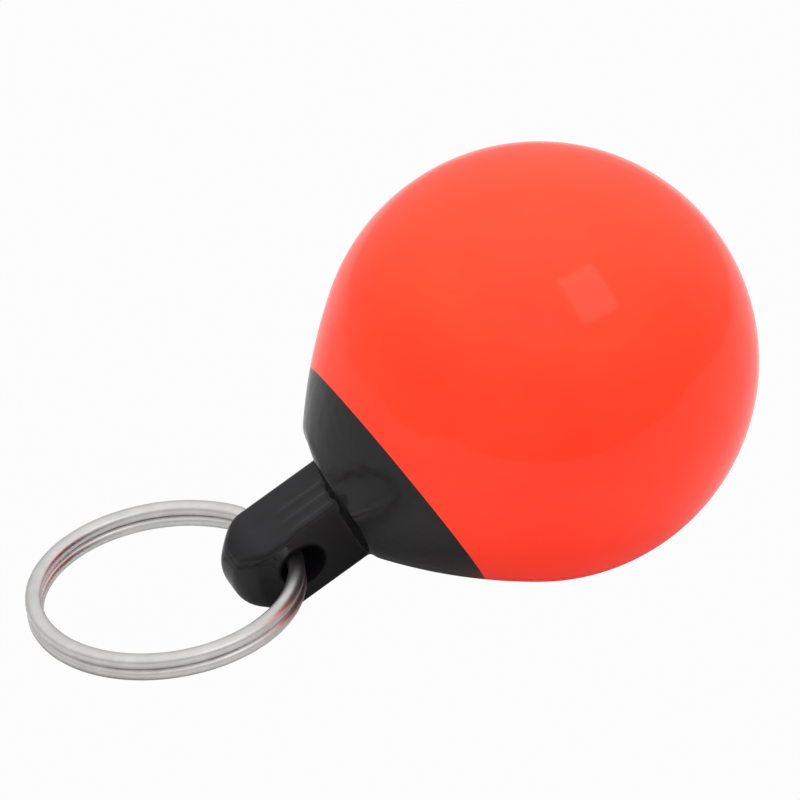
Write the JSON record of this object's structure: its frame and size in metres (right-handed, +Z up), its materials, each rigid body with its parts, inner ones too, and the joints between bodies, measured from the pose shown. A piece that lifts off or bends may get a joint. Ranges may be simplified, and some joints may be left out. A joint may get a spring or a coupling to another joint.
{
  "type": "floating key ring",
  "caption": "Buoy-shaped floating key ring: hollow vinyl ball with a black dipped neck and lug, and a steel split ring through the lug.",
  "frame": {"origin": "on the table, straight under the ball's centre, where the ball touches it", "axes": "+Z up; the float lies with its axis in the XZ plane, dipping 30.6 degrees towards -X where the lug and the ring are; +X along the longest extent, from ring to ball"},
  "size_m": [0.0857, 0.05, 0.05],
  "materials": {
    "orange_vinyl": "glossy red-orange vinyl",
    "core_vinyl": "red-orange vinyl, stained dark",
    "black_dip": "glossy black dipped vinyl",
    "ring_steel": "polished nickel-plated steel"
  },
  "bodies": {
    "float": {"ball_shell": "orange_vinyl", "eye_core": "core_vinyl", "neck_coat": "black_dip"},
    "ring": {"split_ring": "ring_steel"}
  },
  "joints": [
    {"name": "ring_swing", "type": "hinge", "parent": "float", "child": "ring", "pos_m": [-0.03047, 0.00007, 0.0064], "axis": [-0.0709, 0.9903, 0.1198], "range_deg": [-150, 108]}
  ]
}
